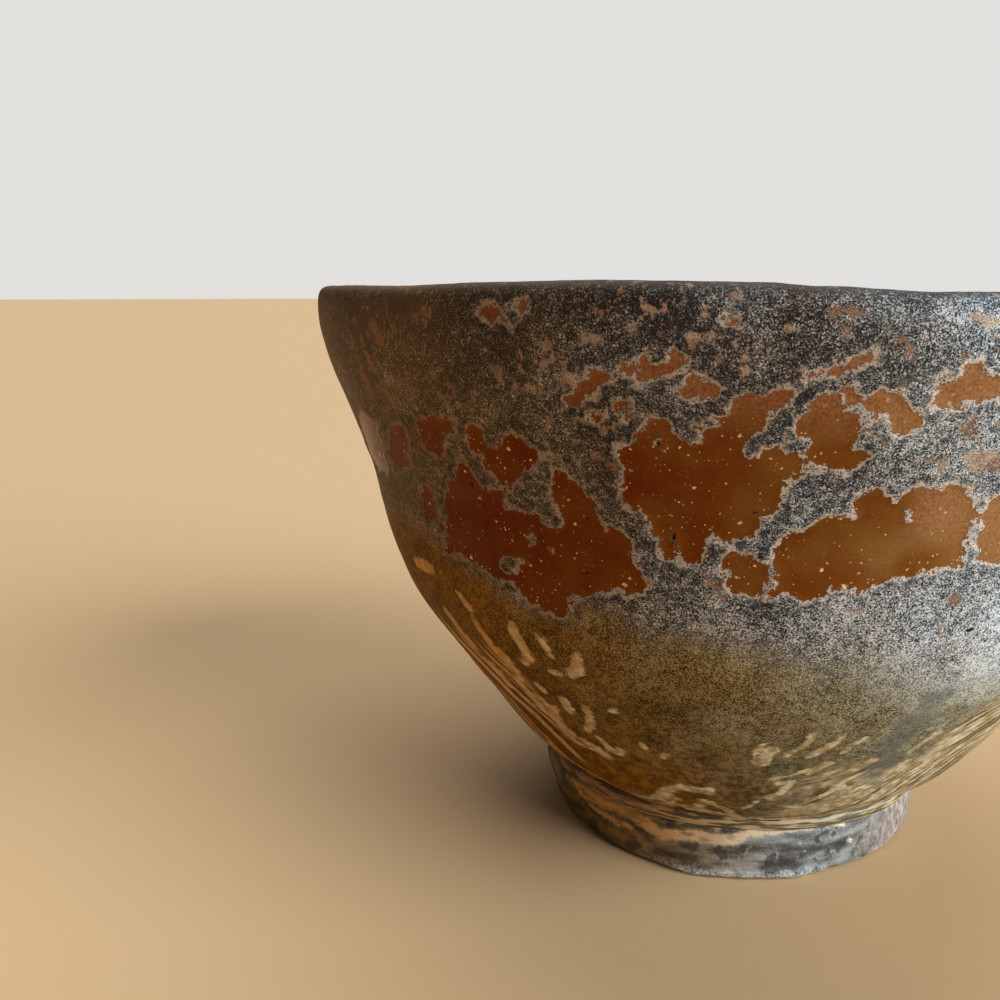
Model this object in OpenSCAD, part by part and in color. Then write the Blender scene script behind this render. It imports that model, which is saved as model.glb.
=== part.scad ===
// Hand-thrown tea bowl on a luted foot ring, built up as the potter builds it:
// clay first, then pale slip, two coats of glaze outside, one inside and a dressing on the lip.
// The bowl stands on z = 0 with its axis on Z. Azimuths are measured from -Y, positive towards +X.

/* [Bowl] */
// Outer diameter at the lip
lip_d = 122; // [112:1:132]
// Height from the table to the top of the lip
bowl_h = 77; // [72:1:84]
// Finished thickness of the lip, glaze included
lip_t = 4; // [3.4:0.2:5]
// Height of the finished floor inside the bowl
floor_z = 14.2; // [13.6:0.2:16]

/* [Foot ring] */
// Outer diameter of the foot ring
foot_d = 54; // [50:1:58]
// Height of the foot ring
foot_h = 7; // [6.6:0.2:7.6]
// Radial thickness of the foot ring
foot_t = 6; // [5:0.5:7]

/* [Coats] */
// Thickness of the grey matte crust
crust_t = 0.35; // [0.3:0.05:0.45]
// Thickness of the amber glaze under the crust
amber_t = 0.35; // [0.3:0.05:0.45]
// Thickness of the pale slip on the lower wall
slip_t = 0.3; // [0.2:0.05:0.4]

/* [Hidden] */
$fn = 96;

lip_r = lip_d / 2;
foot_r = foot_d / 2;
foot_in_r = foot_r - foot_t;
lip_z = bowl_h - lip_t / 2;     // centre of the lip's rounding
lip_mid_r = lip_r - lip_t / 2;
neck = [foot_r - 0.3, foot_h + 1.4];   // where the wall springs from the foot
coat_t = crust_t + amber_t;     // both outer coats, and the single inner one
steps = 4;                      // straight pieces between two stations of a curve
slip_stations = 4;              // the slip reaches this station of the outer wall
arc_steps = 10;

// The outer wall, as shares of the way from neck to lip: [radius, height]
outer_shares = [[0, 0], [0.09, 0.04], [0.225, 0.107], [0.42, 0.24], [0.59, 0.36], [0.705, 0.475],
                [0.77, 0.59], [0.815, 0.67], [0.89, 0.775], [0.965, 0.872], [1, 0.955], [1, 1]];
// The inner wall, as shares of the inner lip radius and of the depth: [radius, height]
inner_shares = [[0, 0], [0.1, 0.002], [0.21, 0.008], [0.29, 0.028], [0.377, 0.053], [0.5, 0.11],
                [0.625, 0.2], [0.73, 0.317], [0.8, 0.433], [0.84, 0.53], [0.875, 0.63],
                [0.923, 0.737], [0.972, 0.844], [1, 0.935], [1, 1]];
// The trimmed underside within the foot ring: [share of the ring's inner radius, mm below its top]
under_shares = [[0, 1.4], [0.15, 1], [0.34, -0.1], [0.66, -0.6], [0.88, -0.4], [1, 0]];

// Windows in the crust, where the amber glaze shows:
// [azimuth, height, half width, half height, tilt, phase of the wobble in the outline]
windows = [
    [-66, 57, 4.6, 3.6, 0, 40], [-57.5, 58, 2.8, 2.4, 12, 10], [-48.5, 60.8, 3.2, 1.7, 15, 70],
    [-46, 51.5, 5.6, 5, 0, 20], [-36, 47.5, 6.4, 4.6, 0, 110], [-28.5, 49.3, 4.8, 2.5, -8, 60],
    [-31, 54.5, 2.3, 3.8, 14, 150], [-38.5, 59.2, 4.4, 2.1, -5, 30],
    [-17.5, 57.3, 7.2, 4.6, 0, 90], [-21, 62.3, 2.5, 2.2, 0, 10], [-12.5, 65, 4, 1.7, 35, 50],
    [-6, 63.7, 2.7, 2.7, 0, 130], [-1.2, 66, 2, 1.3, -25, 80], [5, 68.3, 3.6, 1.6, 20, 30],
    [-4.5, 51.3, 5, 3, 10, 120], [4.5, 54, 5, 3.8, 12, 40], [15.5, 53.6, 4.6, 3.6, 5, 160],
    [30, 58, 6.5, 4.2, -10, 20], [38, 50, 4, 2.6, 10, 100], [52, 55, 6, 4.6, 15, 60],
    [66, 61, 4, 2.4, -12, 140], [70, 50, 5.4, 3.4, 8, 90], [88, 56, 6.4, 4.4, -6, 10],
    [104, 51, 4.6, 3, 12, 70], [112, 60, 3.6, 2.4, 0, 150], [128, 55, 6.8, 4.4, 8, 50],
    [146, 60, 3.8, 2.2, -18, 110], [150, 50, 5, 3.4, 0, 30], [168, 56, 6, 4.2, 14, 80],
    [186, 52, 5.2, 3.2, -8, 160], [190, 62, 3.2, 1.8, 20, 10], [208, 57, 6.6, 4, 6, 120],
    [226, 51, 4.6, 3, 0, 40], [236, 60, 4.2, 2.4, 16, 90], [252, 54, 6.2, 4.4, -10, 60],
    [270, 59, 4.4, 2.6, 10, 140], [276, 50, 4.4, 2.8, 0, 20]
];

// ---- Curves ----

// A point at t between p1 and p2 of a Catmull-Rom curve
function catmull(p0, p1, p2, p3, t) =
    0.5 * (2 * p1 + (p2 - p0) * t + (2 * p0 - 5 * p1 + 4 * p2 - p3) * t * t
    + (3 * p1 - p0 - 3 * p2 + p3) * t * t * t);

// A smooth line through the stations p
function smooth(p) = let (last = len(p) - 1) concat(
    [for (i = [0:last - 1], s = [0:steps - 1])
        catmull(p[max(i - 1, 0)], p[i], p[i + 1], p[min(i + 2, last)], s / steps)],
    [p[last]]);

// The line moved by d to its left; its two ends move along first and last where those are given
function moved(line, d, first, last) = [for (i = [0:len(line) - 1])
    let (end = len(line) - 1, ahead = line[min(i + 1, end)] - line[max(i - 1, 0)],
         left = [-ahead[1], ahead[0]] / norm(ahead))
    line[i] + d * (i == 0 && !is_undef(first) ? first : i == end && !is_undef(last) ? last : left)];

function back(line) = [for (i = [len(line) - 1:-1:0]) line[i]];
function upto(line, n) = [for (i = [0:n]) line[i]];
function from(line, n) = [for (i = [n:len(line) - 1]) line[i]];

outer_line = smooth([for (s = outer_shares)
    [neck[0] + s[0] * (lip_r - neck[0]), neck[1] + s[1] * (lip_z - neck[1])]]);
inner_line = smooth([for (s = inner_shares)
    [s[0] * (lip_r - lip_t), floor_z + s[1] * (lip_z - floor_z)]]);
under_line = smooth([for (s = under_shares) [s[0] * foot_in_r, foot_h - s[1]]]);
slip_end = slip_stations * steps;

// The finished outside and inside surfaces, sunk by d into the clay
function outside(d) = moved(outer_line, d, undef, [-1, 0]);
function inside(d) = moved(inner_line, -d, [0, 1], [-1, 0]);

// The lip's round section from the outside over the top, sunk by d
function lip_arc(d) = [for (i = [0:arc_steps]) let (a = 180 * i / arc_steps)
    [lip_mid_r + (lip_t / 2 - d) * cos(a), lip_z + (lip_t / 2 - d) * sin(a)]];

// One window's outline: an ellipse with a slow and a quick wobble
function blob(w) = [for (p = [0:30:330])
    let (k = 1 + 0.14 * sin(3 * p + w[5]) + 0.08 * sin(5 * p - 2 * w[5]),
         x = w[2] * k * cos(p), y = w[3] * k * sin(p))
    [x * cos(w[4]) - y * sin(w[4]), x * sin(w[4]) + y * cos(w[4])]];

module between(upper, lower) {
    rotate_extrude() polygon(concat(upper, back(lower)));
}

// ---- Clay ----

// The thrown and trimmed stoneware wall, with its floor and the seat for the foot ring
module clay_wall() {
    slip_face = outside(coat_t + slip_t);
    bare_face = outside(coat_t);
    color([0.36, 0.29, 0.25]) rotate_extrude() polygon(concat(
        under_line,
        [[slip_face[0][0], foot_h]],
        upto(slip_face, slip_end),
        from(bare_face, slip_end),
        from(lip_arc(coat_t), 1),
        from(back(inside(coat_t)), 1)));
}

// The foot ring, with worn edges and a flat rim that it stands on
module foot_ring() {
    color([0.3, 0.3, 0.33]) rotate_extrude() polygon([
        [foot_r - 1.2, 0], [foot_r - 0.5, 0.5], [foot_r - 0.2, 1.5], [foot_r, 3.5],
        [foot_r, foot_h - 1], [foot_r - 0.1, foot_h], [foot_in_r, foot_h],
        [foot_in_r - 0.3, 1.4], [foot_in_r + 0.2, 0.4], [foot_in_r + 0.9, 0]]);
}

// The bead of slip squeezed out where the ring is luted to the wall
module luting_slip() {
    root_r = outside(coat_t + slip_t)[0][0];
    color([0.75, 0.68, 0.55]) rotate_extrude() polygon([
        [root_r, foot_h], [foot_r - 0.1, foot_h], [foot_r - 0.35, foot_h + 0.5],
        [foot_r - 0.4, foot_h + 0.9], neck, outside(coat_t + slip_t)[0]]);
}

// ---- Coats ----

// Pale slip wiped round the lower wall
module slip_coat() {
    color([0.66, 0.52, 0.36])
        between(upto(outside(coat_t), slip_end), upto(outside(coat_t + slip_t), slip_end));
}

// Glossy amber glaze, a whole coat under the crust
module amber_glaze() {
    color([0.4, 0.2, 0.07]) between(outside(crust_t), outside(coat_t));
}

// Matte grey crust, open at the windows
module crust_glaze() {
    color([0.3, 0.3, 0.3]) difference() {
        between(outside(0), outside(crust_t));
        for (w = windows)
            rotate([0, 0, w[0]]) translate([0, -lip_r * 0.7, w[1]]) rotate([90, 0, 0])
                linear_extrude(height = lip_r * 0.4) polygon(blob(w));
    }
}

// Dark iron dressing over the rounded lip
module lip_glaze() {
    color([0.14, 0.13, 0.13]) between(lip_arc(0), lip_arc(coat_t));
}

// Glaze lining of the inside, pooled on the floor
module inner_glaze() {
    color([0.22, 0.16, 0.1]) between(inside(0), inside(coat_t));
}

clay_wall();
foot_ring();
luting_slip();
slip_coat();
amber_glaze();
crust_glaze();
lip_glaze();
inner_glaze();
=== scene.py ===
import math

import bpy
import numpy as np
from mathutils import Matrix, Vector
from mathutils.bvhtree import BVHTree


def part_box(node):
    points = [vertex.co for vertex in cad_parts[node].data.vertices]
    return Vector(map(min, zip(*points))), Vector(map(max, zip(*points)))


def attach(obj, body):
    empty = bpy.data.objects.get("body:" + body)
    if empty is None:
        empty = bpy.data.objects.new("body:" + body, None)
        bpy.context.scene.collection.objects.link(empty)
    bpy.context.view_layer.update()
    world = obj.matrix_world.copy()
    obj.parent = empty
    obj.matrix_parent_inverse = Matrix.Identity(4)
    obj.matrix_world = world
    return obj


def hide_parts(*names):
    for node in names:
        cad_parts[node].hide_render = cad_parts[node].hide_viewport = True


# A hand-thrown tea bowl. Lengths inside this script are millimetres and azimuths are degrees from -Y,
# positive towards +X; meshes are scaled to metres when they are made.

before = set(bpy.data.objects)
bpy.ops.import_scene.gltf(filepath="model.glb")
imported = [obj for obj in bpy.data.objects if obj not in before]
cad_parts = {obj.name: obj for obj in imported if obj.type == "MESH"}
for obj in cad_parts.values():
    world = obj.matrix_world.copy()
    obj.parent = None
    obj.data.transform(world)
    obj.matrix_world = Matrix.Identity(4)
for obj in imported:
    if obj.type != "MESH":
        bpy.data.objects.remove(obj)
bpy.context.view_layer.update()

MM = 0.001
FAR = 6.0               # distances to an outline are kept within this many mm
ROW = 0.55              # spacing of the rows of vertices on the outside
COLUMNS = 640           # vertices round the outside
SEAM_Z = 30.0           # the crust above and the slip skirt below meet here
LIP_ROW = 0.4
LINING_COLUMNS = 384
LINING_ROW = 0.9
CLAY_COLUMNS = 192
CLAY_ROWS = 120
FOOT_COLUMNS = 720
PROFILE_STEP = 0.2      # spacing of the points on the bowl's profile
WEAR = 30               # passes that wear the CAD model's facets off the profile
OUTER_RAYS, LIP_POINTS, INNER_RAYS = 140, 25, 240       # where the profile is measured

# ---- Small mathematics ----


def smooth_step(low, high, x):
    t = np.clip((x - low) / (high - low), 0, 1)
    return t * t * (3 - 2 * t)


def round_curve(azimuth, knots):
    """A smooth curve round the bowl through knots {degrees: value}."""
    at = np.array(sorted(knots))
    value = np.array([knots[a] for a in at])
    at = np.concatenate([at - 360, at, at + 360])
    value = np.tile(value, 3)
    x = (azimuth + 180) % 360 - 180
    i = np.clip(np.searchsorted(at, x, side="right") - 1, 0, len(at) - 2)
    t = (x - at[i]) / (at[i + 1] - at[i])
    t = t * t * (3 - 2 * t)
    return value[i] * (1 - t) + value[i + 1] * t


def steady_curve(azimuth, knots):
    """A curve of even slopes round the bowl through knots {degrees: value}, its corners rounded."""
    at = sorted(knots)
    value = [knots[a] for a in at]
    return sum(np.interp(azimuth + shift, at, value, period=360) for shift in (-6, -3, 0, 3, 6)) / 5


def corner_value(ix, iy, iz, seed):
    """A fixed random number from -1 to 1 for each corner of a lattice."""
    h = ix * 374761393 + iy * 668265263 + iz * 974634777 + seed * 1274126177
    h = (h ^ (h >> 13)) * 1103515245 & 0x7FFFFFFF
    h = (h ^ (h >> 11)) * 668265263 & 0x7FFFFFFF
    return (h ^ (h >> 16)) % 65536 / 32767.5 - 1


def noise(points, size, seed):
    """Smooth noise from -1 to 1 whose blobs are about size mm across; each seed gives another noise."""
    p = points / size
    i = np.floor(p).astype(np.int64)
    f = p - i
    w = f * f * f * (f * (f * 6 - 15) + 10)
    total = 0
    for corner in np.ndindex(2, 2, 2):
        share = np.prod(np.where(corner, w, 1 - w), axis=-1)
        total = total + share * corner_value(*np.moveaxis(i + corner, -1, 0), seed)
    return total


# ---- The profile, measured on the CAD model ----


def cad_tree():
    """One search tree over the faces of every CAD node, in mm."""
    points, faces = [], []
    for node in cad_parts.values():
        first = len(points)
        points += [v.co / MM for v in node.data.vertices]
        faces += [[first + i for i in p.vertices] for p in node.data.polygons]
    return BVHTree.FromPolygons(points, faces)


def box_mm(node):
    low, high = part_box(node)
    return low / MM, high / MM


tree = cad_tree()
lip_low, lip_high = box_mm("lip_glaze")
foot_high = box_mm("foot_ring")[1]
LIP_TOP = lip_high.z
LIP_Z = lip_low.z                       # where the wall's two faces end and the lip's rounding starts
LIP_ROUND = LIP_TOP - LIP_Z
LIP_R = lip_high.x
FOOT_R = foot_high.x
FOOT_TOP = foot_high.z
NECK_Z = FOOT_TOP + 1.4                 # the coats start here, above the joint with the foot ring
COAT = 0.7                              # thickness of the outer coats and of the lining


def radius_at(z):
    """Radius of the bowl's outside at height z, past any window in the crust."""
    found = []
    for degrees in range(5, 360, 30):
        a = math.radians(degrees)
        out = Vector((math.sin(a), -math.cos(a), 0))
        hit = tree.ray_cast(out * 2 * LIP_R + Vector((0, 0, z)), -out)[0]
        found.append(hit.xy.length)
    return max(found)


def inside_at(degrees):
    """The point (radius, height) of the lining, seen from the lip's centre that far below level."""
    a = math.radians(degrees)
    hit = tree.ray_cast(Vector((0, 0, LIP_Z)), Vector((0.001, math.cos(a), -math.sin(a))))[0]
    return hit.xy.length, hit.z


def resampled(points, spacing):
    """The line with evenly spaced points."""
    points = np.array(points, float)
    along = np.concatenate([[0], np.cumsum(np.linalg.norm(np.diff(points, axis=0), axis=1))])
    even = np.linspace(0, along[-1], int(round(along[-1] / spacing)) + 1)
    return np.stack([np.interp(even, along, points[:, k]) for k in (0, 1)], -1)


def softened(line, passes):
    """The line with its small facets worn off, its ends in place."""
    line = line.copy()
    for _ in range(passes):
        line[1:-1] = (line[:-2] + 2 * line[1:-1] + line[2:]) / 4
    return line


outer_part = [(radius_at(z), z) for z in np.linspace(NECK_Z, LIP_Z, OUTER_RAYS)]
lip_part = [(LIP_R - LIP_ROUND + LIP_ROUND * math.cos(t), LIP_Z + LIP_ROUND * math.sin(t))
            for t in np.linspace(0, math.pi, LIP_POINTS)]
inner_part = [inside_at(d) for d in np.linspace(0.3, 89.7, INNER_RAYS)]
outer_even = softened(resampled(outer_part, PROFILE_STEP), WEAR)
inner_even = softened(resampled(inner_part, PROFILE_STEP), WEAR)
inner_even = np.vstack([inner_even, [[0, inner_even[-1, 1]]]])
whole = np.vstack([outer_even[:-1], resampled(lip_part, PROFILE_STEP), inner_even[1:]])
whole_along = np.concatenate([[0], np.cumsum(np.linalg.norm(np.diff(whole, axis=0), axis=1))])
slope = np.gradient(whole, whole_along, axis=0)
whole_normal = np.stack([slope[:, 1], -slope[:, 0]], -1)
whole_normal /= np.linalg.norm(whole_normal, axis=1)[:, None]

LIP_START = whole_along[len(outer_even) - 1]
LIP_END = LIP_START + math.pi * LIP_ROUND
POLE = whole_along[-1]


def profile(along):
    """Radius, height and the two parts of the normal at a distance along the profile from the neck."""
    return [np.interp(along, whole_along, v) for v in (*whole.T, *whole_normal.T)]


def along_of(z):
    """How far along the profile the outside reaches height z."""
    return np.interp(z, outer_even[:, 1], whole_along[: len(outer_even)])


SEAM = float(along_of(SEAM_Z))

# ---- What the kiln and the hand drew on the outside: points are (azimuth, height) ----

# Windows torn in the crust, each a closed outline
WINDOWS = [
    [(-45.5, 58.2), (-44.3, 57), (-42.5, 55.2), (-40.2, 55), (-40.5, 53.2), (-38.5, 53), (-36, 52.9),
     (-35, 52), (-33.5, 51.6), (-32.3, 51.8), (-33.3, 53.5), (-34, 55.2), (-33.2, 56.8), (-32.7, 58.5),
     (-32, 58.8), (-31, 58.3), (-29.3, 56), (-28.5, 55), (-28.6, 53.5), (-28.2, 52.2), (-27, 52.4),
     (-25.6, 52.2), (-25, 51), (-24.6, 49.5), (-23.6, 48), (-23, 47), (-23.6, 46), (-26, 45.6),
     (-28.5, 45.4), (-30.5, 44.8), (-32.2, 44.6), (-33.2, 43.3), (-34, 41.8), (-35, 41.4), (-36.2, 42.2),
     (-37.8, 42.1), (-40, 42.3), (-40.8, 43.3), (-42, 44.2), (-43.5, 44.2), (-45.5, 44.8), (-47.5, 45.9),
     (-50, 45.9), (-52.5, 46), (-53, 47.3), (-52.2, 49), (-51.8, 51), (-51, 53), (-49.5, 54.8),
     (-47.8, 55.8), (-46.3, 57.2)],
    [(-43.8, 60.5), (-42.6, 62.1), (-41.3, 61.8), (-41, 60.4), (-39.2, 60.2), (-38.6, 61.4), (-37, 61.7),
     (-35.6, 61.6), (-34.3, 60.6), (-32.4, 60.2), (-34, 59.8), (-34.8, 58.7), (-36.4, 57.9), (-37.3, 57),
     (-38, 56.4), (-39.5, 56.1), (-40.6, 56.2), (-41.8, 57.4), (-42.2, 58.8), (-43.4, 59.5)],
    [(-52, 58.8), (-51.8, 60.5), (-51.6, 62), (-50, 62.3), (-48.6, 62.9), (-47.4, 62.3), (-45.6, 62.8),
     (-44.5, 62.6), (-45.2, 61.4), (-46.8, 60.7), (-47.8, 59.6), (-48.5, 58.4), (-50.2, 58), (-51.3, 58.2)],
    [(-63.2, 56.5), (-61, 58.2), (-59.2, 59.8), (-57.5, 60.6), (-55.5, 61.2), (-54.2, 60.7), (-54.5, 59.5),
     (-56, 58), (-56.8, 56.6), (-58.3, 55.5), (-60, 55.1), (-62.3, 55.4)],
    [(-78, 54.5), (-75, 58.8), (-70, 61.2), (-66, 61.3), (-63, 60.2), (-64.3, 57.5), (-65, 54.5),
     (-67.5, 53), (-73, 52.4)],
    [(-57, 51.5), (-55, 53.5), (-53.6, 53), (-53.4, 51), (-54, 49.5), (-56, 49.6)],
    [(-25.4, 60.4), (-25.2, 61.6), (-24, 62.3), (-22.8, 63.2), (-22, 64.9), (-20.9, 64.6), (-20, 63.6),
     (-19.2, 62.6), (-18.5, 62), (-17.5, 61.9), (-17.5, 63), (-17.8, 63.7), (-16.9, 64), (-16, 64.1),
     (-15.9, 65), (-14.7, 65.2), (-14.6, 66.4), (-13.5, 67), (-12.4, 67), (-11.4, 67.5), (-10.2, 68),
     (-9.1, 67.9), (-9.7, 66.7), (-10.5, 65.9), (-11, 65.2), (-12, 65.4), (-12.2, 64.4), (-12.4, 63.4),
     (-13.5, 62.6), (-13.9, 62), (-13.7, 61), (-12.6, 61.3), (-11.5, 61.9), (-10, 62), (-9.2, 61.5),
     (-8.5, 60.6), (-7.8, 59.9), (-9, 59), (-9.8, 58.2), (-10.1, 57), (-10.2, 56), (-11.3, 55.2),
     (-12.1, 54), (-12.8, 53.2), (-13.9, 53), (-14.6, 52.3), (-15.7, 52.7), (-16.3, 53.5), (-16.7, 52.4),
     (-16.9, 51.2), (-17.6, 50.2), (-18.3, 49.2), (-19.4, 49.3), (-20.2, 50.2), (-21.5, 50.7),
     (-22.3, 51.6), (-23, 52.8), (-23, 54.3), (-24.4, 55.2), (-25.3, 56.5), (-25.3, 58.2), (-24.2, 59.2),
     (-24.4, 60.1)],
    [(-9.3, 64), (-8.6, 65.2), (-8.3, 66.4), (-7.3, 67.1), (-6.2, 67), (-5.6, 66), (-4.3, 65.8),
     (-4.1, 64.6), (-4.2, 63.3), (-4.3, 62.3), (-3.2, 62.6), (-2.4, 61.8), (-2.8, 60.8), (-3.9, 60),
     (-4.9, 59.6), (-5.6, 60.3), (-6.7, 60.2), (-7.8, 60.6), (-8.3, 61.5), (-8.3, 62.6)],
    [(-5.8, 67.4), (-5, 67.8), (-4.2, 66.8), (-4.4, 65.6)],
    [(-4, 66.1), (-3.4, 67.2), (-2.5, 68), (-1.8, 68.2), (-0.7, 67.8), (-0.3, 67), (0.6, 66.3), (1.3, 65.4),
     (1.1, 64.3), (0.3, 63.7), (-0.7, 63.6), (-1.3, 64.2), (-1.7, 65.1), (-2.8, 65.2), (-3.6, 65.5)],
    [(1.4, 68.9), (2, 69.5), (2.6, 68.6), (3.4, 69.4), (4.2, 70.6), (5.2, 70.9), (6.2, 69.8), (8, 69.4),
     (9.5, 68), (8.2, 67.2), (6.4, 67.5), (5, 67.2), (4, 66.6), (2.5, 66.4), (1.9, 67.3)],
    [(-10.3, 46.7), (-9.9, 48.5), (-9.7, 50.5), (-9.9, 52), (-9, 53.2), (-7.2, 54), (-5.8, 55.2),
     (-4.2, 55.4), (-3.2, 54.7), (-2.6, 55.3), (-2.6, 56.6), (-1.9, 57.7), (-0.6, 57.9), (0.4, 56.8),
     (1.6, 57.8), (2.4, 58.3), (3.8, 58.1), (5, 58.2), (6.4, 58.7), (7.3, 57.9), (8.4, 57.2), (9.4, 56.4),
     (9.2, 55), (9.6, 53.8), (9.1, 52.5), (9.6, 51.6), (9.3, 50.2), (8.2, 49.9), (6.5, 49.6), (4.4, 49.2),
     (2.4, 48.8), (0.8, 48.4), (-0.6, 47.4), (-2, 47.5), (-3.4, 48.1), (-4.4, 47), (-6, 46.4), (-7.6, 46.6),
     (-9, 46.8)],
    [(10.6, 50.4), (10.9, 51.8), (10.3, 53), (10.6, 54.4), (9.9, 55.4), (10.2, 57.2), (11.5, 58),
     (13.5, 57.2), (16, 56.6), (18.5, 55.2), (20, 53.2), (18.6, 51.4), (16, 50.6), (13.5, 50.1), (12, 50)],
    [(-15, 49.8), (-14, 51.2), (-12.2, 51.2), (-10.7, 50.2), (-10.5, 48.3), (-11.6, 46.9), (-13.6, 46.8),
     (-14.9, 48.2)],
    [(-8.7, 69.9), (-7.4, 69.8), (-6, 70.3), (-5.2, 71), (-3.9, 71.8), (-3.5, 71), (-4.2, 70.4),
     (-5.4, 69.9), (-6.5, 69.4), (-8, 69.4)],
    [(-29.2, 68.1), (-27.8, 68.3), (-26.4, 68.9), (-25.6, 68.6), (-26.8, 67.4), (-28, 66.6), (-28.8, 66.2)],
    [(-25, 68.6), (-24.3, 69.6), (-23.2, 69.4), (-22.5, 70.3), (-21.3, 69.7), (-20.6, 70), (-19.6, 71),
     (-19, 70.3), (-20, 69), (-21, 68.3), (-22.6, 68.1), (-23.6, 68.3)],
    [(-19.3, 67.4), (-18.4, 68.4), (-17.4, 68.6), (-16.2, 68), (-15.4, 67.4), (-16, 66.9), (-17.4, 67),
     (-18.6, 67)],
    [(-25.4, 65.4), (-25, 66.1), (-24, 66), (-23.7, 65.3), (-24.5, 64.7), (-25.2, 64.9)],
    [(-28.2, 64.6), (-27.2, 65.2), (-26.4, 64.8), (-27.2, 64.2)],
    [(-30.1, 65.9), (-29.4, 66.6), (-29, 65.9), (-29.5, 65.3)],
    [(-38.6, 74.3), (-37.6, 74.9), (-36.6, 74.6), (-36.2, 73.9), (-35.2, 73.7), (-35, 72.9), (-36.2, 73),
     (-37.4, 73.2)],
    [(-35.2, 75.2), (-34.6, 75.8), (-33.4, 75.5), (-33, 74.8), (-34, 74.4), (-34.8, 74.8)],
    [(-15.9, 73.3), (-15.3, 74), (-14.6, 73.7), (-15, 73)],
]
# Bits of crust left inside the windows
REMNANTS = [
    [(-42.9, 47.2), (-41.5, 48), (-39.3, 47.8), (-40, 46.8), (-40.6, 45.6), (-42, 45.2), (-42.6, 46)],
    [(-38.2, 50.5), (-37.4, 51.2), (-36.5, 50.3), (-37, 49.5)],
    [(-21.9, 61.6), (-21.6, 62.7), (-21, 62.4), (-21.3, 61.2)],
    [(-20.7, 51), (-20.3, 52.5), (-20, 52.3), (-20.4, 51)],
    [(1.8, 55.2), (2, 56.3), (2.3, 56), (2.3, 55)],
]
# Strokes of pale slip: the points of each, and its half width
STROKES = [
    ([(-43.5, 38.5), (-42.9, 34), (-44.5, 33.2)], 0.75), ([(-38.8, 38), (-38.2, 35.5)], 0.5),
    ([(-33.3, 36.2), (-34, 34.5), (-36.2, 33.3)], 0.65), ([(-39.8, 32.3), (-38.4, 32.5)], 0.45),
    ([(-51.6, 37), (-50.8, 34.5), (-49, 31.8)], 0.8), ([(-53, 40.5), (-51.2, 39)], 0.7),
    ([(-49.3, 29), (-49, 26), (-47.3, 24), (-45, 22)], 0.7), ([(-44.6, 29), (-44.4, 28.5)], 0.6),
    ([(-40.2, 27.8), (-40.6, 26)], 0.65), ([(-36.2, 27.8), (-36.8, 25), (-38.6, 23.3)], 0.6),
    ([(-36.8, 22), (-36, 20.2), (-33.5, 20), (-32.8, 21)], 0.6),
    ([(-46, 21.5), (-43, 20.5), (-39.5, 19.5), (-38.2, 18.6)], 0.65), ([(-31.2, 28.1), (-30.6, 28.4)], 0.5),
    ([(-24.3, 22), (-25, 21.4)], 0.4), ([(-27.8, 23), (-27.9, 22.4)], 0.35),
    ([(-44.2, 25.5), (-45.5, 23.6)], 0.5), ([(-64, 42.2), (-59, 42.6)], 1),
    ([(-64, 49.3), (-60.5, 49.6)], 0.5), ([(-54, 54.5), (-53.6, 50.5)], 0.5),
    ([(-56.5, 30), (-54.5, 26.5)], 1.0), ([(-60, 36), (-57.5, 32)], 0.9),
    ([(-32, 11), (-27, 14), (-22, 16), (-18.5, 16.4), (-17.4, 15.6)], 0.55),
    ([(-31.5, 8.8), (-28, 10.5), (-25, 12.8), (-23.8, 13)], 0.45), ([(-21, 9), (-19.8, 12.5)], 0.4),
    ([(-18.5, 13.6), (-14, 12), (-11, 9.6), (-8, 8.6)], 0.7), ([(-8, 9.6), (-4, 8.8), (0, 8.6)], 0.4),
    ([(-7, 25), (-8, 22.5)], 0.9), ([(-2, 28.5), (-4, 24.3)], 0.45), ([(2, 28.2), (0, 24.3)], 0.6),
    ([(-6, 19.5), (0, 22.2)], 0.3), ([(-2, 19), (-3.2, 16.8), (-5, 15.6)], 0.7),
    ([(0, 21.3), (3, 22.8)], 0.4), ([(7, 20.8), (11, 23.1)], 0.5), ([(6, 17.7), (10, 20.7)], 0.35),
    ([(2, 15.6), (8, 17.7)], 0.35), ([(-7, 9.6), (4, 8.6), (16, 11.7)], 0.5), ([(-9.3, 26), (-9, 23)], 0.3),
    ([(-4.4, 20.6), (-5, 18.6)], 0.3), ([(4, 25.4), (6, 27.4)], 0.3), ([(9, 15.4), (13, 18)], 0.35),
    ([(5, 13.4), (11, 15)], 0.3), ([(12, 13.6), (16, 16.4)], 0.35), ([(-1, 12.6), (5, 12.2)], 0.3),
    ([(-2, 14.4), (2, 14)], 0.25), ([(14, 19), (17.6, 22)], 0.35), ([(16, 24), (18, 27)], 0.4),
    ([(12, 10.8), (18, 12.6)], 0.35), ([(3.6, 20), (5.6, 21)], 0.25), ([(-14, 10), (-8, 9.6)], 0.35),
    ([(-10, 13), (-7.6, 15)], 0.25),
    ([(-54, 28.8), (-52, 24.9), (-48, 21.9), (-45, 19.4), (-38, 18.3)], 0.45),
    ([(-50, 28.8), (-47, 26.7), (-45, 24), (-45, 21.6)], 0.35), ([(-49, 33.3), (-48, 30.9)], 0.8),
    ([(-57, 15), (-55, 11.1), (-51, 8.4), (-39, 8.6), (-30, 11.1), (-23, 15.6), (-17, 16.2)], 0.6),
    ([(-24, 9.4), (-17, 10.2), (-10, 9.8)], 0.45),
]
# Smooth blue-grey patches below the crust, drawn as wide strokes
ASH = [
    ([(13, 19.5), (12, 26), (13, 34)], 2.3), ([(-29, 9.4), (-27, 9.6)], 0.6),
]
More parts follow.
